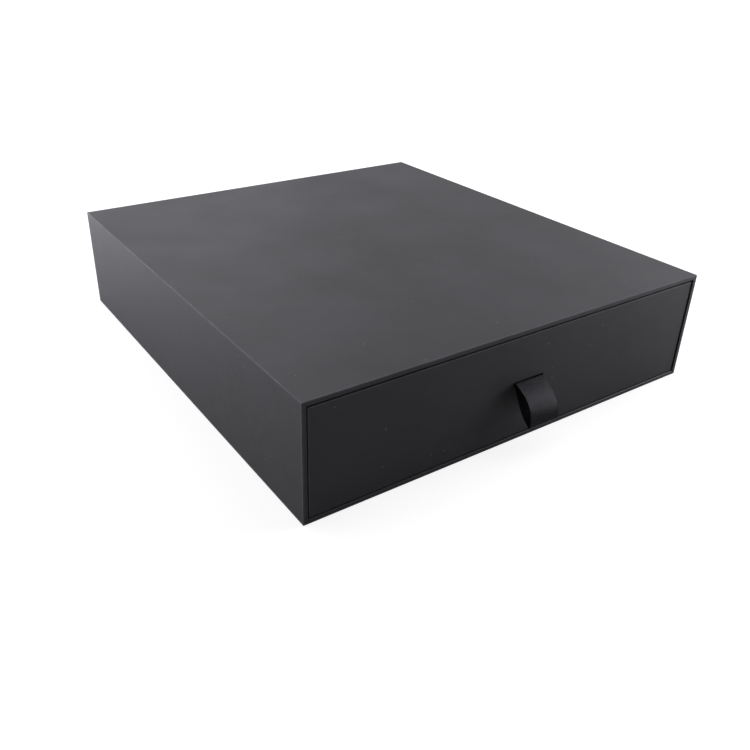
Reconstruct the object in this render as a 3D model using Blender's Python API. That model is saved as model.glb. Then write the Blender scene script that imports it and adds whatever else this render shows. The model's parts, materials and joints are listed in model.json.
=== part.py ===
"""Clothing box: a rigid drawer box of greyboard wrapped in paper.

A sleeve, closed at the back, holds a drawer that pulls out at the front by a ribbon loop.
Metres, +Z up, +X to the right and +Y to the back. The origin is the centre of the underside.
"""

import math

import bmesh
import bpy
from mathutils import Vector

for old in list(bpy.data.objects):
    bpy.data.objects.remove(old, do_unlink=True)

# Outer size of the sleeve
SLEEVE_WIDTH = 0.330
SLEEVE_DEPTH = 0.360
SLEEVE_HEIGHT = 0.082

# Thickness of each sheet, and the gap kept between two sheets that are glued together
SLEEVE_BOARD = 0.0020
DRAWER_BOARD = 0.0015
WRAP_PAPER = 0.0002
LINING_PAPER = 0.0002
BASE_PAPER = 0.0002
BACK_PAPER = 0.0002
STAY_TAPE = 0.0002
ANCHOR_TAPE = 0.0002
RIBBON = 0.0005
GLUE_GAP = 0.0003

# How far the papers are turned over an edge
SIDE_TURN_UNDER = 0.015
BACK_TURN_OVER = 0.018
MOUTH_TURN_IN = 0.018
BASE_TURN_UP = 0.003
BACK_SHEET_INSET = 0.004

# Rounding of the wrapped edges
SLEEVE_EDGE_RADIUS = 0.0010
DRAWER_EDGE_RADIUS = 0.0012
LIP_EDGE_RADIUS = 0.0006

# Room around the drawer in the sleeve
SIDE_CLEARANCE = 0.0010
TOP_CLEARANCE = 0.0015
FLOOR_CLEARANCE = 0.0003
BACK_CLEARANCE = 0.0005
FRONT_RECESS = 0.0007

# Tape round each corner of the drawer
STAY_LEG = 0.015

# Ribbon, its slot, and its ends behind the front board
RIBBON_WIDTH = 0.025
RIBBON_OFFSET = 0.0039
SLOT_DROP = 0.0337
SLOT_HEIGHT = 0.0030
SLOT_SIDE_CLEARANCE = 0.0005
TAIL_LENGTH = 0.012
TAIL_SETBACK = 0.00025
ANCHOR_SIDE_MARGIN = 0.0075
ANCHOR_END_MARGIN = 0.0030
TURN_IN_CLEARANCE = 0.0020

# Ribbon loop: where it folds, and how its two layers hang between the slot and the fold
LOOP_STANDOFF = 0.0009
LOOP_REACH = 0.0172
LOOP_DROP = 0.0231
FOLD_RADIUS = 0.0006
FOLD_TURN = math.radians(123)
LAYER_SPACING = 0.0019
OUTER_ROOT_PULL = 0.0121
OUTER_ROOT_ANGLE = math.radians(38)
OUTER_FOLD_PULL = 0.0132
OUTER_FOLD_TWIST = 0.0018
INNER_ROOT_PULL = 0.0118
INNER_ROOT_ANGLE = math.radians(66)
INNER_FOLD_PULL = 0.0097

# How far a cutter runs past what it cuts
OVERRUN = 0.004

EDGE_STEPS = 3
FOLD_STEPS = 8
LAYER_STEPS = 14
LOOP_RAILS = 5


# Helpers: materials, objects and the few shapes that the pieces share
def paint(name, finish):
    hex_colour, roughness = finish
    channels = [int(hex_colour[i : i + 2], 16) / 255 for i in (0, 2, 4)]
    linear = [c / 12.92 if c <= 0.04045 else ((c + 0.055) / 1.055) ** 2.4 for c in channels]
    material = bpy.data.materials.new(name)
    material.use_nodes = True
    shader = material.node_tree.nodes["Principled BSDF"]
    shader.inputs["Base Color"].default_value = (*linear, 1.0)
    shader.inputs["Roughness"].default_value = roughness
    shader.inputs["Metallic"].default_value = 0.0
    material.diffuse_color = (*linear, 1.0)
    return material


def add_object(name, mesh_builder, material, parent):
    mesh = bpy.data.meshes.new(name)
    mesh_builder.to_mesh(mesh)
    mesh_builder.free()
    piece = bpy.data.objects.new(name, mesh)
    bpy.context.scene.collection.objects.link(piece)
    if material:
        mesh.materials.append(material)
    if parent:
        piece.parent = parent
        piece.matrix_parent_inverse = parent.matrix_basis.inverted()
    return piece


def block(name, low, high, material=None, parent=None, radius=0.0):
    """A box between two corners, with its edges rounded where a radius is given."""
    shape = bmesh.new()
    bmesh.ops.create_cube(shape, size=1)
    low, high = Vector(low), Vector(high)
    bmesh.ops.scale(shape, vec=high - low, verts=shape.verts)
    bmesh.ops.translate(shape, vec=(low + high) / 2, verts=shape.verts)
    if radius > 0:
        bmesh.ops.bevel(
            shape,
            geom=shape.edges[:],
            offset=radius,
            segments=EDGE_STEPS,
            profile=0.5,
            affect="EDGES",
        )
    return add_object(name, shape, material, parent)


def combine(piece, operation, low, high, radius=0.0):
    """Cuts a box from a piece, or joins it on, with a Boolean."""
    tool = block(f"{piece.name}_{operation.lower()}_{len(piece.modifiers)}", low, high, radius=radius)
    tool.hide_render = True
    tool.display_type = "WIRE"
    boolean = piece.modifiers.new(tool.name, "BOOLEAN")
    boolean.operation = operation
    boolean.solver = "EXACT"
    boolean.object = tool


def fillet(corners, radii):
    """A path in a plane, with each corner between its ends turned into an arc of its radius."""
    corners = [Vector(corner) for corner in corners]
    path = [corners[0]]
    for before, corner, after, radius in zip(corners, corners[1:], corners[2:], radii):
        arriving = (corner - before).normalized()
        leaving = (after - corner).normalized()
        turn = arriving.angle(leaving)
        centre = corner + (leaving - arriving).normalized() * radius / math.cos(turn / 2)
        spoke = corner - arriving * radius * math.tan(turn / 2) - centre
        for step in range(EDGE_STEPS + 1):
            angle = turn * step / EDGE_STEPS
            path.append(centre + spoke * math.cos(angle) + arriving * radius * math.sin(angle))
    path.append(corners[-1])
    return path


def sheet(name, rails, thickness, material, parent):
    """A sheet through rails that have as many points each, given its thickness by Solidify."""
    shape = bmesh.new()
    rows = [[shape.verts.new(point) for point in rail] for rail in rails]
    for first, second in zip(rows, rows[1:]):
        for a, b, c, d in zip(first, first[1:], second[1:], second):
            shape.faces.new((a, b, c, d))
    piece = add_object(name, shape, material, parent)
    solidify = piece.modifiers.new("thickness", "SOLIDIFY")
    solidify.thickness = thickness
    solidify.offset = 0.0
    solidify.use_even_offset = True
    return piece


def empty(name, place, parent=None):
    guide = bpy.data.objects.new(name, None)
    guide.location = place
    if parent:
        guide.parent = parent
        guide.matrix_parent_inverse = parent.matrix_basis.inverted()
    bpy.context.scene.collection.objects.link(guide)
    return guide


# Layout: the wrapped body of the sleeve, and the hollow inside its walls
half_width = SLEEVE_WIDTH / 2
front = -SLEEVE_DEPTH / 2
back = SLEEVE_DEPTH / 2

skin_low = Vector((-half_width, front, BASE_PAPER + GLUE_GAP))
skin_high = Vector((half_width, back - BACK_PAPER - GLUE_GAP, SLEEVE_HEIGHT))
under_wrap = WRAP_PAPER + GLUE_GAP
sleeve_wall = under_wrap + SLEEVE_BOARD + GLUE_GAP + LINING_PAPER
hollow_low = skin_low + Vector((sleeve_wall, 0, sleeve_wall))
hollow_high = skin_high - Vector((sleeve_wall, sleeve_wall, sleeve_wall))

# Layout: the drawer, and the hollow inside its walls
drawer_low = Vector(
    (hollow_low.x + SIDE_CLEARANCE, front + FRONT_RECESS, hollow_low.z + FLOOR_CLEARANCE)
)
drawer_high = Vector(
    (hollow_high.x - SIDE_CLEARANCE, hollow_high.y - BACK_CLEARANCE, hollow_high.z - TOP_CLEARANCE)
)
under_stay = under_wrap + STAY_TAPE + GLUE_GAP
drawer_wall = under_stay + DRAWER_BOARD + GLUE_GAP + LINING_PAPER
drawer_floor = under_wrap + DRAWER_BOARD + GLUE_GAP + LINING_PAPER
tray_low = drawer_low + Vector((drawer_wall, drawer_wall, drawer_floor))
tray_high = drawer_high - Vector((drawer_wall, drawer_wall, 0))
panel_back = drawer_low.y + under_stay + DRAWER_BOARD

# Layout: the ribbon's slot, and the tape over its ends
slot_z = drawer_high.z - SLOT_DROP
slot_top = slot_z + SLOT_HEIGHT / 2
slot_bottom = slot_z - SLOT_HEIGHT / 2
slot_half = RIBBON_WIDTH / 2 + SLOT_SIDE_CLEARANCE
ribbon_left = RIBBON_OFFSET - RIBBON_WIDTH / 2
ribbon_right = RIBBON_OFFSET + RIBBON_WIDTH / 2
tape_half = RIBBON_WIDTH / 2 + ANCHOR_SIDE_MARGIN
tape_top = slot_top + TAIL_LENGTH + ANCHOR_END_MARGIN
tape_bottom = slot_bottom - TAIL_LENGTH - ANCHOR_END_MARGIN
tape_front = panel_back + GLUE_GAP + RIBBON + GLUE_GAP
pocket_back = tape_front + ANCHOR_TAPE + GLUE_GAP
pad_top = tape_top + GLUE_GAP + LINING_PAPER
rim_turn_in = drawer_high.z - pad_top - TURN_IN_CLEARANCE

# Finishes: colour and roughness
SOFT_TOUCH_PAPER = ("3f3f43", 0.60)
GREYBOARD = ("8c8880", 0.90)
LINING_BLACK = ("2b2b2d", 0.70)
KRAFT_TAPE = ("a08358", 0.85)
RIBBON_BLACK = ("212127", 0.45)

drawer_guide = empty("drawer_guide", (0, drawer_low.y, slot_z))
ribbon_pivot = empty(
    "ribbon_pivot", (RIBBON_OFFSET, drawer_low.y - LOOP_STANDOFF, slot_z), drawer_guide
)


# The sleeve's five boards: top and bottom run full width, the sides stand between them, and the
# back board closes the end
def sleeve_boards():
    low = skin_low + Vector((under_wrap, under_wrap, under_wrap))
    high = skin_high - Vector((under_wrap, under_wrap, under_wrap))
    side_low = low.z + SLEEVE_BOARD + GLUE_GAP
    side_high = high.z - SLEEVE_BOARD - GLUE_GAP
    crush = max(SLEEVE_EDGE_RADIUS - under_wrap, 0)

    def board(name, corner_low, corner_high):
        block(name, corner_low, corner_high, paint(name, GREYBOARD), radius=crush)

    board("sleeve_top_board", (low.x, low.y, high.z - SLEEVE_BOARD), high)
    board("sleeve_bottom_board", low, (high.x, high.y, low.z + SLEEVE_BOARD))
    board(
        "sleeve_left_board",
        (low.x, low.y, side_low),
        (low.x + SLEEVE_BOARD, high.y, side_high),
    )
    board(
        "sleeve_right_board",
        (high.x - SLEEVE_BOARD, low.y, side_low),
        (high.x, high.y, side_high),
    )
    board(
        "sleeve_back_board",
        (low.x + SLEEVE_BOARD + GLUE_GAP, high.y - SLEEVE_BOARD, side_low),
        (high.x - SLEEVE_BOARD - GLUE_GAP, high.y, side_high),
    )


# The sleeve's outer paper: one sheet over the top and sides, turned under the box, over the back
# and into the mouth on three sides
def sleeve_wrap():
    paper = Vector((WRAP_PAPER, WRAP_PAPER, WRAP_PAPER))
    wrap = block(
        "sleeve_wrap",
        skin_low,
        skin_high,
        paint("sleeve_wrap", SOFT_TOUCH_PAPER),
        radius=SLEEVE_EDGE_RADIUS,
    )
    combine(
        wrap, "DIFFERENCE", skin_low + paper, skin_high - paper, SLEEVE_EDGE_RADIUS - WRAP_PAPER
    )
    mouth_end = front + MOUTH_TURN_IN
    combine(
        wrap,
        "UNION",
        (hollow_low.x - WRAP_PAPER, front + WRAP_PAPER / 2, hollow_low.z - WRAP_PAPER),
        (hollow_high.x + WRAP_PAPER, mouth_end, hollow_high.z + WRAP_PAPER),
    )
    combine(
        wrap,
        "DIFFERENCE",
        (hollow_low.x, front - OVERRUN, skin_low.z - OVERRUN),
        (hollow_high.x, mouth_end + OVERRUN, hollow_high.z),
    )
    under_half = half_width - SIDE_TURN_UNDER
    combine(
        wrap,
        "DIFFERENCE",
        (-under_half, front - OVERRUN, skin_low.z - OVERRUN),
        (under_half, skin_high.y + OVERRUN, skin_low.z + WRAP_PAPER + GLUE_GAP / 2),
    )
    over_half = half_width - BACK_TURN_OVER
    combine(
        wrap,
        "DIFFERENCE",
        (-over_half, skin_high.y - WRAP_PAPER - GLUE_GAP / 2, skin_low.z - OVERRUN),
        (over_half, skin_high.y + OVERRUN, skin_high.z - BACK_TURN_OVER),
    )


# The paper under the sleeve, which it stands on: it turns up over the back, and over the lower lip
# into the mouth
def sleeve_base_sheet():
    reach = hollow_high.x - GLUE_GAP
    middle = BASE_PAPER / 2
    outer_radius = SLEEVE_EDGE_RADIUS - middle
    path = fillet(
        [
            (back - middle, BASE_TURN_UP),
            (back - middle, middle),
            (front + middle, middle),
            (front + middle, hollow_low.z - middle),
            (front + MOUTH_TURN_IN, hollow_low.z - middle),
        ],
        [outer_radius, outer_radius, LIP_EDGE_RADIUS - middle],
    )
    sheet(
        "sleeve_base_sheet",
        [[(x, p.x, p.y) for p in path] for x in (-reach, reach)],
        BASE_PAPER,
        paint("sleeve_base_sheet", SOFT_TOUCH_PAPER),
        None,
    )


# The paper over the back board, above the turned-up base sheet
def sleeve_back_sheet():
    block(
        "sleeve_back_sheet",
        (-half_width + BACK_SHEET_INSET, back - BACK_PAPER, BASE_TURN_UP + GLUE_GAP),
        (half_width - BACK_SHEET_INSET, back, SLEEVE_HEIGHT - BACK_SHEET_INSET),
        paint("sleeve_back_sheet", SOFT_TOUCH_PAPER),
    )


# The sleeve's lining: a paper box inside the boards, which starts behind the turned-in wrap
def sleeve_lining():
    start = front + MOUTH_TURN_IN + GLUE_GAP
    grow = Vector((LINING_PAPER, 0, LINING_PAPER))
    lining = block(
        "sleeve_lining",
        (hollow_low.x - grow.x, start, hollow_low.z - grow.z),
        hollow_high + grow + Vector((0, LINING_PAPER, 0)),
        paint("sleeve_lining", LINING_BLACK),
    )
    combine(lining, "DIFFERENCE", (hollow_low.x, start - OVERRUN, hollow_low.z), hollow_high)


# The drawer's five boards: four walls stand on the bottom board, and the front one has the slot
def drawer_boards():
    inset = Vector((under_stay, under_stay, under_wrap))
    low = drawer_low + inset
    high = drawer_high - inset
    wall_low = low.z + DRAWER_BOARD + GLUE_GAP
    side_front = low.y + DRAWER_BOARD + GLUE_GAP
    side_back = high.y - DRAWER_BOARD - GLUE_GAP

    def board(name, corner_low, corner_high):
        return block(name, corner_low, corner_high, paint(name, GREYBOARD), drawer_guide)

    board("drawer_bottom_board", low, (high.x, high.y, low.z + DRAWER_BOARD))
    front_board = board(
        "drawer_front_board", (low.x, low.y, wall_low), (high.x, low.y + DRAWER_BOARD, high.z)
    )
    combine(
        front_board,
        "DIFFERENCE",
        (RIBBON_OFFSET - slot_half, low.y - OVERRUN, slot_bottom),
        (RIBBON_OFFSET + slot_half, low.y + DRAWER_BOARD + OVERRUN, slot_top),
    )
    board("drawer_back_board", (low.x, high.y - DRAWER_BOARD, wall_low), high)
    board(
        "drawer_left_board",
        (low.x, side_front, wall_low),
        (low.x + DRAWER_BOARD, side_back, high.z),
    )
    board(
        "drawer_right_board",
        (high.x - DRAWER_BOARD, side_front, wall_low),
        (high.x, side_back, high.z),
    )


# Gummed paper tape bent round each corner of the drawer, under the wrap and short of its rounded edges
def drawer_corner_stays():
    inset = under_wrap + STAY_TAPE / 2
    radius = max(DRAWER_EDGE_RADIUS - inset, STAY_TAPE)
    low_z = drawer_low.z + DRAWER_EDGE_RADIUS
    high_z = drawer_high.z - DRAWER_EDGE_RADIUS
    for depth_name, corner_y, inward_y in (
        ("front", drawer_low.y + inset, 1),
        ("back", drawer_high.y - inset, -1),
    ):
        for side_name, corner_x, inward_x in (
            ("left", drawer_low.x + inset, 1),
            ("right", drawer_high.x - inset, -1),
        ):
            path = fillet(
                [
                    (corner_x, corner_y + inward_y * STAY_LEG),
                    (corner_x, corner_y),
                    (corner_x + inward_x * STAY_LEG, corner_y),
                ],
                [radius],
            )
            name = f"drawer_corner_stay_{depth_name}_{side_name}"
            sheet(
                name,
                [[(p.x, p.y, z) for p in path] for z in (low_z, high_z)],
                STAY_TAPE,
                paint(name, KRAFT_TAPE),
                drawer_guide,
            )


# The drawer's outer paper: one sheet under and round the tray, turned in over its rim, with the slot
def drawer_wrap():
    paper = Vector((WRAP_PAPER, WRAP_PAPER, WRAP_PAPER))
    wrap = block(
        "drawer_wrap",
        drawer_low,
        drawer_high,
        paint("drawer_wrap", SOFT_TOUCH_PAPER),
        drawer_guide,
        DRAWER_EDGE_RADIUS,
    )
    combine(
        wrap,
        "DIFFERENCE",
        drawer_low + paper,
        drawer_high - paper,
        DRAWER_EDGE_RADIUS - WRAP_PAPER,
    )
    turn_bottom = drawer_high.z - rim_turn_in
    combine(
        wrap,
        "UNION",
        (tray_low.x - WRAP_PAPER, tray_low.y - WRAP_PAPER, turn_bottom),
        (tray_high.x + WRAP_PAPER, tray_high.y + WRAP_PAPER, drawer_high.z - WRAP_PAPER / 2),
    )
    combine(
        wrap,
        "DIFFERENCE",
        (tray_low.x, tray_low.y, turn_bottom - OVERRUN),
        (tray_high.x, tray_high.y, drawer_high.z + OVERRUN),
    )
    combine(
        wrap,
        "DIFFERENCE",
        (RIBBON_OFFSET - slot_half, drawer_low.y - OVERRUN, slot_bottom),
        (RIBBON_OFFSET + slot_half, drawer_low.y + WRAP_PAPER + GLUE_GAP, slot_top),
    )


# The drawer's lining: a paper tray below the turned-in wrap, raised into a pad over the ribbon's ends
def drawer_lining():
    paper = LINING_PAPER
    top = drawer_high.z - rim_turn_in - GLUE_GAP
    lining = block(
        "drawer_lining",
        tray_low - Vector((paper, paper, paper)),
        (tray_high.x + paper, tray_high.y + paper, top),
        paint("drawer_lining", LINING_BLACK),
        drawer_guide,
    )
    combine(lining, "DIFFERENCE", tray_low, (tray_high.x, tray_high.y, top + OVERRUN))
    pocket_half = tape_half + GLUE_GAP
    pocket_bottom = tape_bottom - GLUE_GAP
    pocket_top = tape_top + GLUE_GAP
    combine(
        lining,
        "UNION",
        (RIBBON_OFFSET - pocket_half - paper, tray_low.y - paper / 2, pocket_bottom - paper),
        (RIBBON_OFFSET + pocket_half + paper, pocket_back + paper, pad_top),
    )
    combine(
        lining,
        "DIFFERENCE",
        (RIBBON_OFFSET - pocket_half, panel_back, pocket_bottom),
        (RIBBON_OFFSET + pocket_half, pocket_back, pocket_top),
    )


# The ribbon's two ends: each comes through the slot and turns flat against the back of the front
# board, one up and one down, under a patch of tape
def ribbon_tails():
    bend = GLUE_GAP + RIBBON / 2
    start = drawer_low.y + TAIL_SETBACK
    lying = panel_back + bend
    for name, edge, outward in (
        ("ribbon_upper_tail", slot_top, 1),
        ("ribbon_lower_tail", slot_bottom, -1),
    ):
        through = edge - outward * bend
        path = fillet(
            [(start, through), (lying, through), (lying, edge + outward * TAIL_LENGTH)], [bend]
        )
        sheet(
            name,
            [[(x, p.x, p.y) for p in path] for x in (ribbon_left, ribbon_right)],
            RIBBON,
            paint(name, RIBBON_BLACK),
            drawer_guide,
        )
    block(
        "ribbon_anchor_tape",
        (RIBBON_OFFSET - tape_half, tape_front, tape_bottom),
        (RIBBON_OFFSET + tape_half, tape_front + ANCHOR_TAPE, tape_top),
        paint("ribbon_anchor_tape", KRAFT_TAPE),
        drawer_guide,
    )


# The pull loop: it hangs from the slot, folded flat at its end, and bulges higher at its left edge
def heading(angle):
    return Vector((math.cos(angle), math.sin(angle)))


def bezier(start, first_handle, second_handle, end):
    """Points along a cubic curve, both ends included."""
    path = []
    for step in range(LAYER_STEPS + 1):
        t = step / LAYER_STEPS
        s = 1 - t
        pulled = first_handle * 3 * s * s * t + second_handle * 3 * s * t * t
        path.append(start * s**3 + pulled + end * t**3)
    return path


def loop_side(twist):
    """The loop seen from the side: its outer layer, the fold and its inner layer."""
    root = Vector((drawer_low.y - LOOP_STANDOFF, slot_z))
    outer_root = root + Vector((0, LAYER_SPACING / 2))
    inner_root = root - Vector((0, LAYER_SPACING / 2))
    fold = Vector((drawer_low.y - LOOP_REACH, slot_z - LOOP_DROP))
    turn = [
        fold + heading(math.pi + FOLD_TURN * step / FOLD_STEPS) * FOLD_RADIUS
        for step in range(FOLD_STEPS + 1)
    ]
    outer = bezier(
        outer_root,
        outer_root - heading(OUTER_ROOT_ANGLE) * OUTER_ROOT_PULL,
        turn[0] + Vector((0, OUTER_FOLD_PULL + twist)),
        turn[0],
    )
    inner = bezier(
        turn[-1],
        turn[-1] + heading(FOLD_TURN - math.pi / 2) * INNER_FOLD_PULL,
        inner_root - heading(INNER_ROOT_ANGLE) * INNER_ROOT_PULL,
        inner_root,
    )
    return outer + turn[1:-1] + inner


def ribbon_loop():
    rails = []
    for step in range(LOOP_RAILS):
        share = step / (LOOP_RAILS - 1)
        x = ribbon_left + RIBBON_WIDTH * share
        side = loop_side(OUTER_FOLD_TWIST * (1 - 2 * share))
        rails.append([(x, p.x, p.y) for p in side])
    sheet(
        "ribbon_loop",
        rails,
        RIBBON,
        paint("ribbon_loop", RIBBON_BLACK),
        ribbon_pivot,
    )


sleeve_boards()
sleeve_wrap()
sleeve_base_sheet()
sleeve_back_sheet()
sleeve_lining()
drawer_boards()
drawer_corner_stays()
drawer_wrap()
drawer_lining()
ribbon_tails()
ribbon_loop()
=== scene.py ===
"""Clothing box: the looks of a paper-wrapped drawer box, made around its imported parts.

Metres, +Z up, +Y to the back. A length that is given in millimetres is written times MM.
"""

import json
import math

import bmesh
import bpy
from mathutils import Matrix, Vector


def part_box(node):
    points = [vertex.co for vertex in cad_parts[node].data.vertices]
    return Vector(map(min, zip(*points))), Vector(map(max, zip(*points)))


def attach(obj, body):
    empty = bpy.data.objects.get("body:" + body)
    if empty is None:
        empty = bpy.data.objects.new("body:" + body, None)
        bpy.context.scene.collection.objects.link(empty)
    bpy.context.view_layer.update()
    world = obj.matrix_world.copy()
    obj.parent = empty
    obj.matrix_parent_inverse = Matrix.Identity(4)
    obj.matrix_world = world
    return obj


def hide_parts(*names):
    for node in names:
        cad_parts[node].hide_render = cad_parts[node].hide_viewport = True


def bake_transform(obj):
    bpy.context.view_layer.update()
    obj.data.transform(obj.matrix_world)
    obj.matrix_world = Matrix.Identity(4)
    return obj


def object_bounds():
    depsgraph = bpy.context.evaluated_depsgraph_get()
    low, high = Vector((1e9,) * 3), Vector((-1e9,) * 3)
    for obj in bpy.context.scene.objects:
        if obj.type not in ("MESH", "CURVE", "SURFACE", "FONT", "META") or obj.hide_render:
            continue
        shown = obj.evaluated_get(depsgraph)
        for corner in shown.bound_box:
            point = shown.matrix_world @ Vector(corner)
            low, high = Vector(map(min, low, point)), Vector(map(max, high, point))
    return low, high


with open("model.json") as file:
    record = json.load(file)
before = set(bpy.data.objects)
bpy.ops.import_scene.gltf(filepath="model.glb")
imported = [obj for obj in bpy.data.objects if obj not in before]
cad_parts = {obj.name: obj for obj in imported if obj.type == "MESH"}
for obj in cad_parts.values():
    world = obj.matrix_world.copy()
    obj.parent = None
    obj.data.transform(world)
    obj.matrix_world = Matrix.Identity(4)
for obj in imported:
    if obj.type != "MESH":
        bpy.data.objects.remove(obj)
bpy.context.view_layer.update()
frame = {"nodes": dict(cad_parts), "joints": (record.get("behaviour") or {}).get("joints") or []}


# Greyboard: the ten stiff boards that the papers are pasted on, cut from recycled grey fibre.
# They show only where a sheet ends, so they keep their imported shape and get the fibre's flecks.
MM = 0.001


def linear(hex_colour):
    """An sRGB hex colour as the four linear values that a node takes."""
    channels = [int(hex_colour[i : i + 2], 16) / 255 for i in (0, 2, 4)]
    return [c / 12.92 if c <= 0.04045 else ((c + 0.055) / 1.055) ** 2.4 for c in channels] + [1.0]


def add(tree, kind, inputs=None, **settings):
    """Adds a node, sets it up, sets or links its inputs, and gives its outputs.

    Numbered inputs: a Map Range takes its value at 0, the range it comes from at 1 and 2, and the
    range it goes to at 3 and 4. A colour Mix takes the second colour's share at 0, the colours at 6
    and 7, and gives the mixed one at 2.
    """
    node = tree.nodes.new(kind)
    for name, value in settings.items():
        setattr(node, name, value)
    for socket, value in (inputs or {}).items():
        if isinstance(value, bpy.types.NodeSocket):
            tree.links.new(value, node.inputs[socket])
        else:
            node.inputs[socket].default_value = value
    return node.outputs


def new_material(name):
    """A material with its node tree and its shader."""
    material = bpy.data.materials.new(name)
    material.use_nodes = True
    tree = material.node_tree
    return material, tree, tree.nodes["Principled BSDF"]


def recycled_greyboard():
    """Recycled greyboard: pressed waste fibre, dull, with pale and dark flecks about 1 mm long."""
    material, tree, shader = new_material("recycled_greyboard")
    place = add(tree, "ShaderNodeTexCoord")["Object"]
    pulp = add(tree, "ShaderNodeTexNoise", {"Vector": place, "Scale": 1 / (9 * MM)})["Fac"]
    fleck = add(
        tree, "ShaderNodeTexNoise", {"Vector": place, "Scale": 1 / (0.9 * MM), "Detail": 4.0}
    )["Fac"]
    pale = add(tree, "ShaderNodeMapRange", {0: fleck, 1: 0.60, 2: 0.72})[0]
    dark = add(tree, "ShaderNodeMapRange", {0: fleck, 1: 0.36, 2: 0.26})[0]
    colour = linear("857f76")
    for share, tint in ((pulp, "968f85"), (pale, "b5aea2"), (dark, "5f5a53")):
        colour = add(
            tree, "ShaderNodeMix", {0: share, 6: colour, 7: linear(tint)}, data_type="RGBA"
        )[2]
    bump = add(tree, "ShaderNodeBump", {"Height": fleck, "Strength": 0.4, "Distance": 0.1 * MM})
    tree.links.new(colour, shader.inputs["Base Color"])
    tree.links.new(bump["Normal"], shader.inputs["Normal"])
    shader.inputs["Roughness"].default_value = 0.92
    shader.inputs["Specular IOR Level"].default_value = 0.2
    return material


def finish_node(name, material):
    """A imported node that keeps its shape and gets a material."""
    node = frame["nodes"][name]
    node.data.materials.clear()
    node.data.materials.append(material)


greyboard = recycled_greyboard()
for board_name in sorted(frame["nodes"]):
    if board_name.endswith("_board"):
        finish_node(board_name, greyboard)


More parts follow.
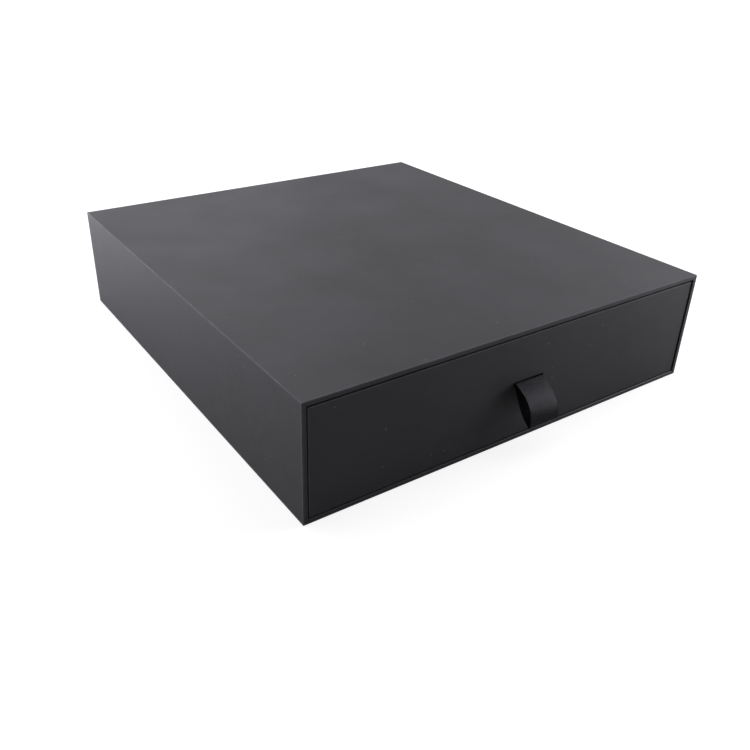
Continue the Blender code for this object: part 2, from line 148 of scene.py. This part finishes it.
# Outer paper of the sleeve: one sheet of black art paper with a soft-touch film, pasted over the
# top and sides and turned over every edge. Its edges are painted grey, partly as rubbed wear and
# partly as a painted highlight on the folds, and it picks up lint.
def shared_paper(low, high, name):
    """Black art paper under a soft-touch film: dull and even, and greyer seen at a low angle."""
    material, tree, shader = new_material(name)
    place = add(tree, "ShaderNodeTexCoord")["Object"]

    # Distance to the nearest edge of the wrapped box: of a point's distances to the faces along X,
    # Y and Z, the middle one
    centre, half = (low + high) / 2, (high - low) / 2
    offset = add(tree, "ShaderNodeVectorMath", {0: place, 1: centre}, operation="SUBTRACT")[0]
    outward = add(tree, "ShaderNodeVectorMath", {0: offset}, operation="ABSOLUTE")[0]
    inset = add(tree, "ShaderNodeVectorMath", {0: half, 1: outward}, operation="SUBTRACT")[0]
    faces = add(tree, "ShaderNodeSeparateXYZ", {0: inset})
    nearer = add(tree, "ShaderNodeMath", {0: faces["X"], 1: faces["Y"]}, operation="MINIMUM")[0]
    farther = add(tree, "ShaderNodeMath", {0: faces["X"], 1: faces["Y"]}, operation="MAXIMUM")[0]
    below = add(tree, "ShaderNodeMath", {0: farther, 1: faces["Z"]}, operation="MINIMUM")[0]
    from_edge = add(tree, "ShaderNodeMath", {0: nearer, 1: below}, operation="MAXIMUM")[0]

    # Soft clouds where hands have polished the film, the paper's own faint mottle, the tooth of the
    # film, drawn coarser than it is so that it shows, and the breaks in the folds' grey, which is
    # rubbed wear and painted highlight
    noises = {}
    for feature, size, detail in (
        ("cloud", 60 * MM, 4.0),
        ("mottle", 8 * MM, 3.0),
        ("tooth", 0.55 * MM, 3.0),
        ("rub_and_highlight_break", 16 * MM, 4.0),
    ):
        noises[feature] = add(
            tree, "ShaderNodeTexNoise", {"Vector": place, "Scale": 1 / size, "Detail": detail}
        )["Fac"]
    polish = add(tree, "ShaderNodeMapRange", {0: noises["cloud"], 1: 0.35, 2: 0.68})[0]
    patch = add(tree, "ShaderNodeMapRange", {0: noises["mottle"], 1: 0.35, 2: 0.70, 4: 0.5})[0]

    # Rubbed folds and painted highlight: over the last 1.4 mm before an edge the black is painted
    # grey, by 9 to 25 percent, more in some places than in others. This grey is partly wear and
    # partly a painted highlight on the folds
    near_edge = add(
        tree, "ShaderNodeMapRange", {0: from_edge, 1: 0.30 * MM, 2: 1.40 * MM, 3: 1.0, 4: 0.0}
    )[0]
    wear_and_highlight_share = add(
        tree, "ShaderNodeMapRange", {0: noises["rub_and_highlight_break"], 1: 0.30, 2: 0.70, 3: 0.09, 4: 0.25}
    )[0]
    rub_and_edge_highlight = add(tree, "ShaderNodeMath", {0: near_edge, 1: wear_and_highlight_share}, operation="MULTIPLY")[0]

    # Lint: specks at most 1.3 mm across, one in nearly half of all 9 mm cells. The cells fill the
    # space, so the paper's surface meets only a few of them
    cell = add(tree, "ShaderNodeTexVoronoi", {"Vector": place, "Scale": 1 / (9 * MM)})
    speck = add(
        tree, "ShaderNodeMapRange", {0: cell["Distance"], 1: 0.030, 2: 0.070, 3: 0.70, 4: 0.0}
    )[0]
    draw = add(tree, "ShaderNodeSeparateColor", {0: cell["Color"]})[0]
    chosen = add(tree, "ShaderNodeMath", {0: draw, 1: 0.55}, operation="GREATER_THAN")[0]
    lint = add(tree, "ShaderNodeMath", {0: speck, 1: chosen}, operation="MULTIPLY")[0]

    # The grey 747478 along the folds is partly rubbed wear and partly a painted highlight on the
    # folds
    colour = linear("1d1d1f")
    for share, tint in ((polish, "252528"), (patch, "28282b"), (rub_and_edge_highlight, "747478"), (lint, "77777a")):
        colour = add(
            tree, "ShaderNodeMix", {0: share, 6: colour, 7: linear(tint)}, data_type="RGBA"
        )[2]
    tree.links.new(colour, shader.inputs["Base Color"])

    # The film is a little smoother where it is polished, and rougher where its fold is rubbed
    film = add(
        tree, "ShaderNodeMapRange", {0: noises["cloud"], 1: 0.25, 2: 0.75, 3: 0.53, 4: 0.47}
    )[0]
    rough = add(tree, "ShaderNodeMath", {0: rub_and_edge_highlight, 1: 0.3, 2: film}, operation="MULTIPLY_ADD")[0]
    tree.links.new(rough, shader.inputs["Roughness"])
    wavy = add(
        tree,
        "ShaderNodeBump",
        {"Height": noises["mottle"], "Strength": 0.06, "Distance": 0.15 * MM},
    )["Normal"]
    fine = add(
        tree,
        "ShaderNodeBump",
        {"Height": noises["tooth"], "Strength": 0.22, "Distance": 0.06 * MM, "Normal": wavy},
    )["Normal"]
    tree.links.new(fine, shader.inputs["Normal"])
    shader.inputs["Specular IOR Level"].default_value = 0.5
    return material


def merged_copy(node_name):
    """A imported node's mesh with its loose triangles joined into whole faces, to be rounded."""
    shape = bmesh.new()
    shape.from_mesh(frame["nodes"][node_name].data)
    bmesh.ops.remove_doubles(shape, verts=shape.verts, dist=0.001 * MM)
    bmesh.ops.dissolve_limit(
        shape, angle_limit=math.radians(0.5), verts=shape.verts, edges=shape.edges
    )
    return shape


def round_edges(shape, chosen, radius):
    """Rounds the edges that a test picks out by their two ends."""
    edges = [edge for edge in shape.edges if chosen(*(vert.co for vert in edge.verts))]
    bmesh.ops.bevel(shape, geom=edges, offset=radius, segments=4, profile=0.5, affect="EDGES")


paper_crease = math.radians(42)


def finish_paper(shape, name, material, body, slot, *nodes):
    """Makes the rounded mesh an object, shades it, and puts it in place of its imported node."""
    mesh = bpy.data.meshes.new(name)
    shape.to_mesh(mesh)
    shape.free()
    mesh.shade_smooth()
    mesh.set_sharp_from_angle(angle=paper_crease)
    mesh.materials.append(material)
    piece = bpy.data.objects.new(name, mesh)
    bpy.context.scene.collection.objects.link(piece)
    weigh = piece.modifiers.new("flat_faces_stay_flat", "WEIGHTED_NORMAL")
    weigh.keep_sharp = True
    weigh.weight = 100
    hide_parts(*nodes)
    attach(piece, body)


just_over = 1.001


def crisper(shape, low, high, radius, share):
    """Draws the outer folds in towards the box's edges, because pressed folds are nearly sharp."""
    for vert in shape.verts:
        for axis in range(3):
            for plane, inward in ((low[axis], 1), (high[axis], -1)):
                depth = (vert.co[axis] - plane) * inward
                if 0 <= depth <= radius * just_over:
                    vert.co[axis] = plane + inward * depth * share


def same(a, b):
    """Whether two places are the same, to a hundredth of a millimetre."""
    return abs(a - b) < 0.01 * MM


skin_low, skin_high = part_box("sleeve_wrap")
lip = 3 * MM
lip_round = 0.3 * MM
mouth_left = skin_low.x + lip
mouth_right = skin_high.x - lip
mouth_top = skin_high.z - lip

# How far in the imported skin's outer folds reach, and the share of that which a pressed fold keeps
outer_fold = 1.0 * MM
outer_fold_kept = 0.14


def on_mouth(a, b):
    """The edges where the paper turns in round the sleeve's mouth, at its sides and top."""
    at_front = same(a.y, skin_low.y) and same(b.y, skin_low.y)
    on_side = any(same(a.x, x) and same(b.x, x) for x in (mouth_left, mouth_right))
    on_top = same(a.z, mouth_top) and same(b.z, mouth_top)
    return at_front and (on_side or on_top)


sleeve_paper = shared_paper(skin_low, skin_high, "soft_touch_paper_on_sleeve")
sleeve_skin = merged_copy("sleeve_wrap")
round_edges(sleeve_skin, on_mouth, lip_round)
crisper(sleeve_skin, skin_low, skin_high, outer_fold, outer_fold_kept)
finish_paper(sleeve_skin, "sleeve_skin", sleeve_paper, "sleeve", "wrap_paper", "sleeve_wrap")


# Base sheet and back sheet of the sleeve: the same paper, pasted on last to cover the turned-over
# edges. The base sheet laps over the lower lip, so it is the lip that shows below the drawer.
base_skin = merged_copy("sleeve_base_sheet")
finish_paper(
    base_skin, "base_skin", sleeve_paper, "sleeve", "wrap_paper", "sleeve_base_sheet"
)
finish_node("sleeve_back_sheet", sleeve_paper)


# Outer paper of the drawer: the same paper under and round the tray, turned in over its rim. The
# rim is a soft fold, which catches the light as a thin line above and beside the front panel.
drawer_low, drawer_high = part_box("drawer_wrap")
rim_wall = 3 * MM
rim_round = 0.6 * MM
panel_fold = 1.2 * MM
panel_fold_kept = 0.35


def on_rim(a, b):
    """The inner edges of the rim, where the paper turns down into the tray."""
    at_top = same(a.z, drawer_high.z) and same(b.z, drawer_high.z)
    on_side = any(
        same(a.x, x) and same(b.x, x) for x in (drawer_low.x + rim_wall, drawer_high.x - rim_wall)
    )
    on_end = any(
        same(a.y, y) and same(b.y, y) for y in (drawer_low.y + rim_wall, drawer_high.y - rim_wall)
    )
    return at_top and (on_side or on_end)


drawer_paper = shared_paper(drawer_low, drawer_high, "soft_touch_paper_on_drawer")
drawer_skin = merged_copy("drawer_wrap")
round_edges(drawer_skin, on_rim, rim_round)

# The lower fold keeps its full round: measured from 2 mm below the drawer, it is out of reach
below_drawer = drawer_low - Vector((0, 0, 2 * MM))
crisper(drawer_skin, below_drawer, drawer_high, panel_fold, panel_fold_kept)
finish_paper(drawer_skin, "drawer_skin", drawer_paper, "drawer", "wrap_paper", "drawer_wrap")


# Lining papers: uncoated black paper, duller than the outside. The drawer's is a folded tray, with
# a soft swelling behind the panel where it lies over the ribbon's taped ends.
def uncoated_black_paper():
    """Uncoated black paper: dyed through, dull, with no film over its short fibres.

    A real fibre is a few hundredths of a millimetre thick, so they are drawn coarser, to show.
    """
    material, tree, shader = new_material("uncoated_black_paper")
    place = add(tree, "ShaderNodeTexCoord")["Object"]
    cloud = add(
        tree, "ShaderNodeTexNoise", {"Vector": place, "Scale": 1 / (20 * MM), "Detail": 3.0}
    )["Fac"]
    stretched = add(tree, "ShaderNodeMapping", {"Vector": place, "Scale": (1, 3, 2)})[0]
    fibre = add(
        tree, "ShaderNodeTexNoise", {"Vector": stretched, "Scale": 1 / (1.2 * MM), "Detail": 4.0}
    )["Fac"]
    raised = add(tree, "ShaderNodeMapRange", {0: fibre, 1: 0.58, 2: 0.74, 4: 0.5})[0]
    colour = linear("1f1f20")
    for share, tint in ((cloud, "262627"), (raised, "3a3a3b")):
        colour = add(
            tree, "ShaderNodeMix", {0: share, 6: colour, 7: linear(tint)}, data_type="RGBA"
        )[2]
    bump = add(tree, "ShaderNodeBump", {"Height": fibre, "Strength": 0.3, "Distance": 0.05 * MM})
    tree.links.new(colour, shader.inputs["Base Color"])
    tree.links.new(bump["Normal"], shader.inputs["Normal"])
    shader.inputs["Roughness"].default_value = 0.82
    shader.inputs["Specular IOR Level"].default_value = 0.2
    return material


lining_paper = uncoated_black_paper()
finish_node("sleeve_lining", lining_paper)

lining_low, lining_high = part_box("drawer_lining")
anchor_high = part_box("ribbon_anchor_tape")[1]
pad_cover = 0.5 * MM
pad_face = anchor_high.y + pad_cover
lining_thick = 0.2 * MM
fold_round = 0.5 * MM
pad_round = 0.7 * MM


def on_pad(a, b):
    """The edges of the pad's flat face."""
    return same(a.y, pad_face) and same(b.y, pad_face)


def on_fold(a, b):
    """The tray's inner folds: round its floor and up its corners, away from the pad."""
    inner = [
        (same(p.x, lining_low.x + lining_thick) or same(p.x, lining_high.x - lining_thick))
        + (same(p.y, lining_low.y + lining_thick) or same(p.y, lining_high.y - lining_thick))
        + same(p.z, lining_low.z + lining_thick)
        for p in (a, b)
    ]
    return min(inner) >= 2


lining_tray = merged_copy("drawer_lining")
round_edges(lining_tray, on_pad, pad_round)
round_edges(lining_tray, on_fold, fold_round)
finish_paper(
    lining_tray, "lining_tray", lining_paper, "drawer", "lining_paper", "drawer_lining"
)


# Kraft tape: gummed brown paper over the drawer's corners, and a patch over the ribbon's ends. It
# is hidden once the papers are on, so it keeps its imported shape.
def gummed_kraft_tape():
    """Gummed kraft paper: brown, machine-glazed, with fibres running along it."""
    material, tree, shader = new_material("gummed_kraft_tape")
    place = add(tree, "ShaderNodeTexCoord")["Object"]
    along = add(tree, "ShaderNodeMapping", {"Vector": place, "Scale": (3, 3, 1)})[0]
    fibre = add(
        tree, "ShaderNodeTexNoise", {"Vector": along, "Scale": 1 / (1.5 * MM), "Detail": 4.0}
    )["Fac"]
    colour = add(
        tree,
        "ShaderNodeMix",
        {0: fibre, 6: linear("8f7349"), 7: linear("b39566")},
        data_type="RGBA",
    )[2]
    bump = add(tree, "ShaderNodeBump", {"Height": fibre, "Strength": 0.3, "Distance": 0.05 * MM})
    tree.links.new(colour, shader.inputs["Base Color"])
    tree.links.new(bump["Normal"], shader.inputs["Normal"])
    shader.inputs["Roughness"].default_value = 0.7
    return material


kraft_tape = gummed_kraft_tape()
for tape_name in sorted(frame["nodes"]):
    if "corner_stay" in tape_name or tape_name == "ribbon_anchor_tape":
        finish_node(tape_name, kraft_tape)


# Pull ribbon: black polyester grosgrain, 25 mm wide, in one length. Both ends come through the slot
# and lie under the tape, and the middle hangs in front as a loop, creased flat where it folds.
ribbon_low, ribbon_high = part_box("ribbon_loop")
tail_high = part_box("ribbon_upper_tail")[1]
end_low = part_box("ribbon_lower_tail")[0]
hinge = Vector(next(j for j in frame["joints"] if j["name"] == "ribbon_lift")["pos_m"])
ribbon_width = ribbon_high.x - ribbon_low.x
ribbon_thick = 0.42 * MM
ribbon_crease = math.radians(50)

# The tails, the slot and the two layers that leave it
half_tail = 0.25 * MM
tail_lying = tail_high.y - half_tail
layer_gap = 1.9 * MM
slot_bend = 0.55 * MM
root_bend = 1.2 * MM

# The fold at the loop's end: how far out and down from the slot it lies, and how it turns
loop_reach = 16.3 * MM
loop_drop = 23.1 * MM
fold_radius = 0.6 * MM
fold_turn = math.radians(123)

# How far each layer runs on in the direction in which it leaves the slot and meets the fold, and
# the angles below level at which it leaves. The left edge leaves flatter, so the loop is twisted
outer_pull = 9.0 * MM
outer_fold_pull = 14.0 * MM
inner_pull = 11.8 * MM
inner_fold_pull = 9.7 * MM
inner_angle = math.radians(66)
left_angle = math.radians(24)
right_angle = math.radians(38)
edge_twist = 2.6 * MM
root_droop = 0.6 * MM

# Steps along a layer, round the fold and round a bend, and those of a layer that its bend replaces
layer_steps = 40
fold_steps = 14
bend_steps = 6
eased_steps = 4

# Ribs 0.7 mm apart, about as on stock grosgrain. The warp's threads lie closer together than
# 0.36 mm, and are drawn this coarse so that they show
rib_pitch_mm = 0.70
warp_pitch_mm = 0.36
rib_height = 0.03 * MM
rows_per_rib = 6
columns = 17


def heading(angle):
    """The direction at an angle, as (y, z)."""
    return Vector((math.cos(angle), math.sin(angle)))


def bent(corners, radii):
    """A path in a plane with each corner between its ends turned into an arc."""
    path = [corners[0]]
    for before, corner, after, radius in zip(corners, corners[1:], corners[2:], radii):
        arriving, leaving = (corner - before).normalized(), (after - corner).normalized()
        turn = arriving.angle(leaving)
        middle = corner + (leaving - arriving).normalized() * radius / math.cos(turn / 2)
        spoke = corner - arriving * radius * math.tan(turn / 2) - middle
        for step in range(bend_steps + 1):
            angle = turn * step / bend_steps
            path.append(middle + spoke * math.cos(angle) + arriving * radius * math.sin(angle))
    return path + [corners[-1]]


def swept(start, first_handle, second_handle, end):
    """A cubic curve from start to end, pulled towards its two handles."""
    path = []
    for step in range(layer_steps + 1):
        t = step / layer_steps
        s = 1 - t
        pulled = first_handle * 3 * s * s * t + second_handle * 3 * s * t * t
        path.append(start * s**3 + pulled + end * t**3)
    return path


def ribbon_edge(outer_angle, twist, droop):
    """One edge of the ribbon from end to end, seen from the side as (y, z).

    The outer layer leaves the slot at an angle below level. Twist lengthens its pull at the fold,
    and droop lowers its root.
    """
    root = Vector((hinge.y, hinge.z))
    outer_root = root + Vector((0, layer_gap / 2 - droop))
    inner_root = root - Vector((0, layer_gap / 2))
    fold = root + Vector((-loop_reach, -loop_drop))
    turn = [
        fold + heading(math.pi + fold_turn * step / fold_steps) * fold_radius
        for step in range(fold_steps + 1)
    ]
    outer = swept(
        outer_root,
        outer_root - heading(outer_angle) * outer_pull,
        turn[0] + Vector((0, outer_fold_pull + twist)),
        turn[0],
    )
    inner = swept(
        turn[-1],
        turn[-1] + heading(fold_turn - math.pi / 2) * inner_fold_pull,
        inner_root - heading(inner_angle) * inner_pull,
        inner_root,
    )
    upper_end = bent(
        [
            Vector((tail_lying, tail_high.z)),
            Vector((tail_lying, outer_root.y)),
            outer_root,
            outer[eased_steps],
        ],
        [slot_bend, root_bend / 2],
    )
    lower_end = bent(
        [
            inner[-1 - eased_steps],
            inner_root,
            Vector((tail_lying, inner_root.y)),
            Vector((tail_lying, end_low.z)),
        ],
        [root_bend / 2, slot_bend],
    )
    outer_layer = outer[eased_steps + 1 :]
    inner_layer = inner[: -1 - eased_steps]
    return upper_end + outer_layer + turn[1:-1] + inner_layer + lower_end


def edge_curves():
    """The ribbon's left and right edges as two lines in one curve, and the right one's length."""
    curve = bpy.data.curves.new("ribbon_edges", "CURVE")
    curve.dimensions = "3D"
    for x, angle, twist, droop in (
        (ribbon_low.x, left_angle, edge_twist, 0),
        (ribbon_high.x, right_angle, -edge_twist, root_droop),
    ):
        side = ribbon_edge(angle, twist, droop)
        spline = curve.splines.new("POLY")
        spline.points.add(len(side) - 1)
        for point, place in zip(spline.points, side):
            point.co = (x, place.x, place.y, 1)
    edges = bpy.data.objects.new("ribbon_edges", curve)
    bpy.context.scene.collection.objects.link(edges)
    right_length = sum((b - a).length for a, b in zip(side, side[1:]))
    return edges, right_length


def weaving_tree():
    """Geometry Nodes that weave the ribbon between its two edges, with its ribs across it."""
    tree = bpy.data.node_groups.new("weave_ribbon", "GeometryNodeTree")
    ports = {}
    for name, kind in (
        ("Edges", "NodeSocketObject"),
        ("Columns", "NodeSocketInt"),
        ("Rows", "NodeSocketInt"),
        ("Ribs", "NodeSocketFloat"),
        ("Rib Height", "NodeSocketFloat"),
        ("Width mm", "NodeSocketFloat"),
        ("Length mm", "NodeSocketFloat"),
        ("Material", "NodeSocketMaterial"),
    ):
        ports[name] = tree.interface.new_socket(name, in_out="INPUT", socket_type=kind).identifier
    tree.interface.new_socket("Geometry", in_out="OUTPUT", socket_type="NodeSocketGeometry")
    given = add(tree, "NodeGroupInput")
    cloth = add(
        tree,
        "GeometryNodeMeshGrid",
        {"Size X": 1.0, "Size Y": 1.0, "Vertices X": given["Columns"], "Vertices Y": given["Rows"]},
    )
    held = add(
        tree,
        "GeometryNodeStoreNamedAttribute",
        {"Geometry": cloth["Mesh"], "Name": "weave", "Value": cloth["UV Map"]},
        data_type="FLOAT_VECTOR",
        domain="POINT",
    )["Geometry"]
    spot = add(tree, "GeometryNodeInputNamedAttribute", {"Name": "weave"}, data_type="FLOAT_VECTOR")
    parts = add(tree, "ShaderNodeSeparateXYZ", {0: spot["Attribute"]})

    # Each point lies between the two edges, as far across as its column and as far along as its row
    edges = add(tree, "GeometryNodeObjectInfo", {"Object": given["Edges"]})["Geometry"]
    left, right = (
        add(
            tree,
            "GeometryNodeSampleCurve",
            {"Curves": edges, "Factor": parts["Y"], "Curve Index": index},
            mode="FACTOR",
            use_all_curves=False,
        )["Position"]
        for index in (0, 1)
    )
    between = add(tree, "ShaderNodeMix", {0: parts["X"], 4: left, 5: right}, data_type="VECTOR")[1]
    placed = add(tree, "GeometryNodeSetPosition", {"Geometry": held, "Position": between})[0]

    # Ribs run across the ribbon and fade out from 1 mm to a quarter of one before its edges
    beat = add(tree, "ShaderNodeMath", {0: parts["Y"], 1: given["Ribs"]}, operation="MULTIPLY")[0]
    phase = add(tree, "ShaderNodeMath", {0: beat, 1: math.tau}, operation="MULTIPLY")[0]
    wave = add(tree, "ShaderNodeMath", {0: phase}, operation="SINE")[0]
    aside = add(tree, "ShaderNodeMath", {0: parts["X"], 1: 0.5}, operation="SUBTRACT")[0]
    from_middle = add(tree, "ShaderNodeMath", {0: aside}, operation="ABSOLUTE")[0]
    inside = add(tree, "ShaderNodeMapRange", {0: from_middle, 1: 0.46, 2: 0.49, 3: 1.0, 4: 0.0})[0]
    bounded = add(tree, "ShaderNodeMath", {0: wave, 1: inside}, operation="MULTIPLY")[0]
    rise = add(
        tree, "ShaderNodeMath", {0: bounded, 1: given["Rib Height"]}, operation="MULTIPLY"
    )[0]
    normal = add(tree, "GeometryNodeInputNormal")[0]
    lift = add(tree, "ShaderNodeVectorMath", {0: normal, "Scale": rise}, operation="SCALE")[0]
    ribbed = add(tree, "GeometryNodeSetPosition", {"Geometry": placed, "Offset": lift})[0]

    # Millimetres across and along the ribbon, for its threads
    across = add(
        tree, "ShaderNodeMath", {0: parts["X"], 1: given["Width mm"]}, operation="MULTIPLY"
    )[0]
    along = add(
        tree, "ShaderNodeMath", {0: parts["Y"], 1: given["Length mm"]}, operation="MULTIPLY"
    )[0]
    measure = add(tree, "ShaderNodeCombineXYZ", {0: across, 1: along})[0]
    sized = add(
        tree,
        "GeometryNodeStoreNamedAttribute",
        {"Geometry": ribbed, "Name": "ribbon_mm", "Value": measure},
        data_type="FLOAT_VECTOR",
        domain="POINT",
    )["Geometry"]
    real = add(tree, "GeometryNodeRealizeInstances", {"Geometry": sized})["Geometry"]
    dyed = add(
        tree, "GeometryNodeSetMaterial", {"Geometry": real, "Material": given["Material"]}
    )["Geometry"]
    add(tree, "NodeGroupOutput", {0: dyed})
    return tree, ports


def black_grosgrain():
    """Polyester grosgrain: fine warp over thick weft. A faint shine is painted on the crowns of its
    ribs, and its slub flecks are painted lighter, partly as fluff and partly as a painted sheen.

    Its place is in millimetres across and along the ribbon, so a scale of 1 is 1 mm.
    """
    material, tree, shader = new_material("black_polyester_grosgrain")
    place = add(tree, "ShaderNodeAttribute", attribute_name="ribbon_mm")["Vector"]
    parts = add(tree, "ShaderNodeSeparateXYZ", {0: place})
    waves = {}
    for yarn, direction, pitch in (("rib", "Y", rib_pitch_mm), ("thread", "X", warp_pitch_mm)):
        phase = add(
            tree, "ShaderNodeMath", {0: parts[direction], 1: math.tau / pitch}, operation="MULTIPLY"
        )[0]
        waves[yarn] = add(tree, "ShaderNodeMath", {0: phase}, operation="SINE")[0]
    slub = add(tree, "ShaderNodeTexNoise", {"Vector": place, "Scale": 1.0, "Detail": 2.0})["Fac"]
    painted_crown_shine = add(tree, "ShaderNodeMapRange", {0: waves["rib"], 1: -1.0, 2: 1.0})[0]
    fluff_and_sheen_speckle = add(tree, "ShaderNodeMapRange", {0: slub, 1: 0.46, 2: 0.66, 4: 0.8})[0]
    # Painted highlight: the rib crowns are painted lighter as their shine, and the slub flecks
    # lighter as fluff and as a speckled sheen
    colour = linear("0f0f12")
    for share, tint in ((painted_crown_shine, "1b1b1f"), (fluff_and_sheen_speckle, "28272e")):
        colour = add(
            tree, "ShaderNodeMix", {0: share, 6: colour, 7: linear(tint)}, data_type="RGBA"
        )[2]
    threads = add(tree, "ShaderNodeMath", {0: waves["thread"], 1: 0.35}, operation="MULTIPLY")[0]
    relief = add(
        tree, "ShaderNodeMath", {0: slub, 1: 0.8, 2: threads}, operation="MULTIPLY_ADD"
    )[0]
    bump = add(tree, "ShaderNodeBump", {"Height": relief, "Strength": 0.35, "Distance": 0.05 * MM})
    tree.links.new(colour, shader.inputs["Base Color"])
    tree.links.new(bump["Normal"], shader.inputs["Normal"])
    rough = add(tree, "ShaderNodeMapRange", {0: slub, 1: 0.3, 2: 0.7, 3: 0.27, 4: 0.36})[0]
    tree.links.new(rough, shader.inputs["Roughness"])
    shader.inputs["Specular IOR Level"].default_value = 0.10
    return material


edges, ribbon_length = edge_curves()
ribs = ribbon_length / MM / rib_pitch_mm
ribbon = bpy.data.objects.new("pull_ribbon", bpy.data.meshes.new("pull_ribbon"))
bpy.context.scene.collection.objects.link(ribbon)
weave, ports = weaving_tree()
modifier = ribbon.modifiers.new("weave", "NODES")
modifier.node_group = weave
for port, value in (
    ("Edges", edges),
    ("Columns", columns),
    ("Rows", int(ribs * rows_per_rib)),
    ("Ribs", ribs),
    ("Rib Height", rib_height),
    ("Width mm", ribbon_width / MM),
    ("Length mm", ribbon_length / MM),
    ("Material", black_grosgrain()),
):
    modifier[ports[port]] = value
thickness = ribbon.modifiers.new("thickness", "SOLIDIFY")
thickness.thickness = ribbon_thick
thickness.offset = 0.0
depsgraph = bpy.context.evaluated_depsgraph_get()
woven = bpy.data.meshes.new_from_object(ribbon.evaluated_get(depsgraph))
ribbon.modifiers.clear()
ribbon.data = woven
woven.shade_smooth()
woven.set_sharp_from_angle(angle=ribbon_crease)
bpy.data.objects.remove(edges)

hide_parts("ribbon_loop", "ribbon_upper_tail", "ribbon_lower_tail")
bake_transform(ribbon)


# Camera, floor and lights: the camera stands where it did for the photograph, fitted to the seven
# visible corners of the box. Soft light comes from above, from behind and from low at both sides,
# where it skims the black paper, and the floor is pale.
camera_place = Vector((-0.33582, -0.48115, 0.29749))
camera_aim = Vector((-0.07004, -0.09353, 0.04100))
camera_roll = math.radians(1.273)
camera_data = bpy.data.cameras.new("camera")
camera_data.sensor_width = 36.0
camera_data.lens = 37.873
camera_data.shift_x = 0.02087
camera_data.shift_y = -0.02236
camera = bpy.data.objects.new("camera", camera_data)
bpy.context.scene.collection.objects.link(camera)
look = (camera_aim - camera_place).to_track_quat("-Z", "Y").to_matrix()
camera.matrix_world = Matrix.Translation(camera_place) @ (
    look @ Matrix.Rotation(camera_roll, 3, "Z")
).to_4x4()
bpy.context.scene.camera = camera


gloss_sees = 0.06
pool_fades = 0.45
pool_ends = 1.80
glow_in_pool = 0.80
glow_beyond = 1.0


def pale_floor():
    """A white sweep that keeps the box's soft shadow, a little greyer in a pool around it.

    Gloss on the paper sees a small part of its glow.
    """
    material = bpy.data.materials.new("pale_floor")
    material.use_nodes = True
    tree = material.node_tree
    tree.nodes.clear()
    seen = add(tree, "ShaderNodeLightPath")
    direct = add(
        tree,
        "ShaderNodeMath",
        {0: seen["Is Camera Ray"], 1: seen["Is Transmission Ray"]},
        operation="MAXIMUM",
    )[0]
    gloss = add(
        tree, "ShaderNodeMath", {0: seen["Is Glossy Ray"], 1: gloss_sees}, operation="MULTIPLY"
    )[0]
    shown = add(tree, "ShaderNodeMath", {0: direct, 1: gloss}, operation="MAXIMUM")[0]
    place = add(tree, "ShaderNodeTexCoord")["Object"]
    distance = add(tree, "ShaderNodeVectorMath", {0: place}, operation="LENGTH")["Value"]
    strength = add(
        tree,
        "ShaderNodeMapRange",
        {0: distance, 1: pool_fades, 2: pool_ends, 3: glow_in_pool, 4: glow_beyond},
        interpolation_type="SMOOTHSTEP",
    )[0]
    bounce = add(tree, "ShaderNodeBsdfDiffuse", {"Color": linear("a8a8a8")})[0]
    glow = add(tree, "ShaderNodeEmission", {"Strength": strength})[0]
    bright = add(tree, "ShaderNodeAddShader", {0: bounce, 1: glow})[0]
    mixed = add(tree, "ShaderNodeMixShader", {0: shown, 1: bounce, 2: bright})[0]
    add(tree, "ShaderNodeOutputMaterial", {"Surface": mixed})
    return material


floor_size = 14.0
sweep = bmesh.new()
bmesh.ops.create_grid(sweep, x_segments=1, y_segments=1, size=floor_size / 2)
floor_mesh = bpy.data.meshes.new("floor")
sweep.to_mesh(floor_mesh)
sweep.free()
floor_mesh.materials.append(pale_floor())
floor = bpy.data.objects.new("floor", floor_mesh)
floor.location = (0, 0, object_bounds()[0].z)
bpy.context.scene.collection.objects.link(floor)

# The lamps: where each stands, its width and height, and its power in watts
lamp_aim = Vector((0, 0, 0.04))
lamp_white = linear("f9f7ff")[:3]
for name, place, width, height, power in (
    ("softbox_overhead", (0.0, 0.30, 1.40), 1.6, 1.6, 6.8),
    ("softbox_back", (0.1, 1.60, 0.90), 1.6, 1.2, 8.2),
    ("softbox_back_right", (1.30, 1.10, 0.60), 1.2, 0.9, 2.6),
    ("softbox_right", (1.00, -0.12, 0.90), 1.0, 1.0, 8.1),
    ("low_softbox_right", (0.80, -0.40, 0.17), 0.7, 0.30, 4.9),
    ("low_softbox_left", (-0.85, 0.75, 0.15), 1.4, 0.26, 16.4),
    ("low_softbox_back_left", (-0.45, 0.95, 0.15), 0.8, 0.26, 2.7),
):
    light = bpy.data.lights.new(name, "AREA")
    light.shape = "RECTANGLE"
    light.size = width
    light.size_y = height
    light.energy = power
    light.color = lamp_white
    lamp = bpy.data.objects.new(name, light)
    lamp.location = place
    lamp.rotation_euler = (lamp_aim - Vector(place)).to_track_quat("-Z", "Y").to_euler()
    lamp.visible_camera = False
    bpy.context.scene.collection.objects.link(lamp)

# The room is dim to the box, and white to the camera and through anything clear
room_light = 0.15
room_seen = 1.0
room_white = linear("ffffff")
world = bpy.data.worlds.new("studio")
world.use_nodes = True
bpy.context.scene.world = world
sky = world.node_tree
sky.nodes.clear()
seen = add(sky, "ShaderNodeLightPath")
shown = add(
    sky,
    "ShaderNodeMath",
    {0: seen["Is Camera Ray"], 1: seen["Is Transmission Ray"]},
    operation="MAXIMUM",
)[0]
dim = add(sky, "ShaderNodeBackground", {"Color": room_white, "Strength": room_light})[0]
white = add(sky, "ShaderNodeBackground", {"Color": room_white, "Strength": room_seen})[0]
either = add(sky, "ShaderNodeMixShader", {0: shown, 1: dim, 2: white})[0]
add(sky, "ShaderNodeOutputWorld", {"Surface": either})
bpy.context.scene.view_settings.view_transform = "Standard"
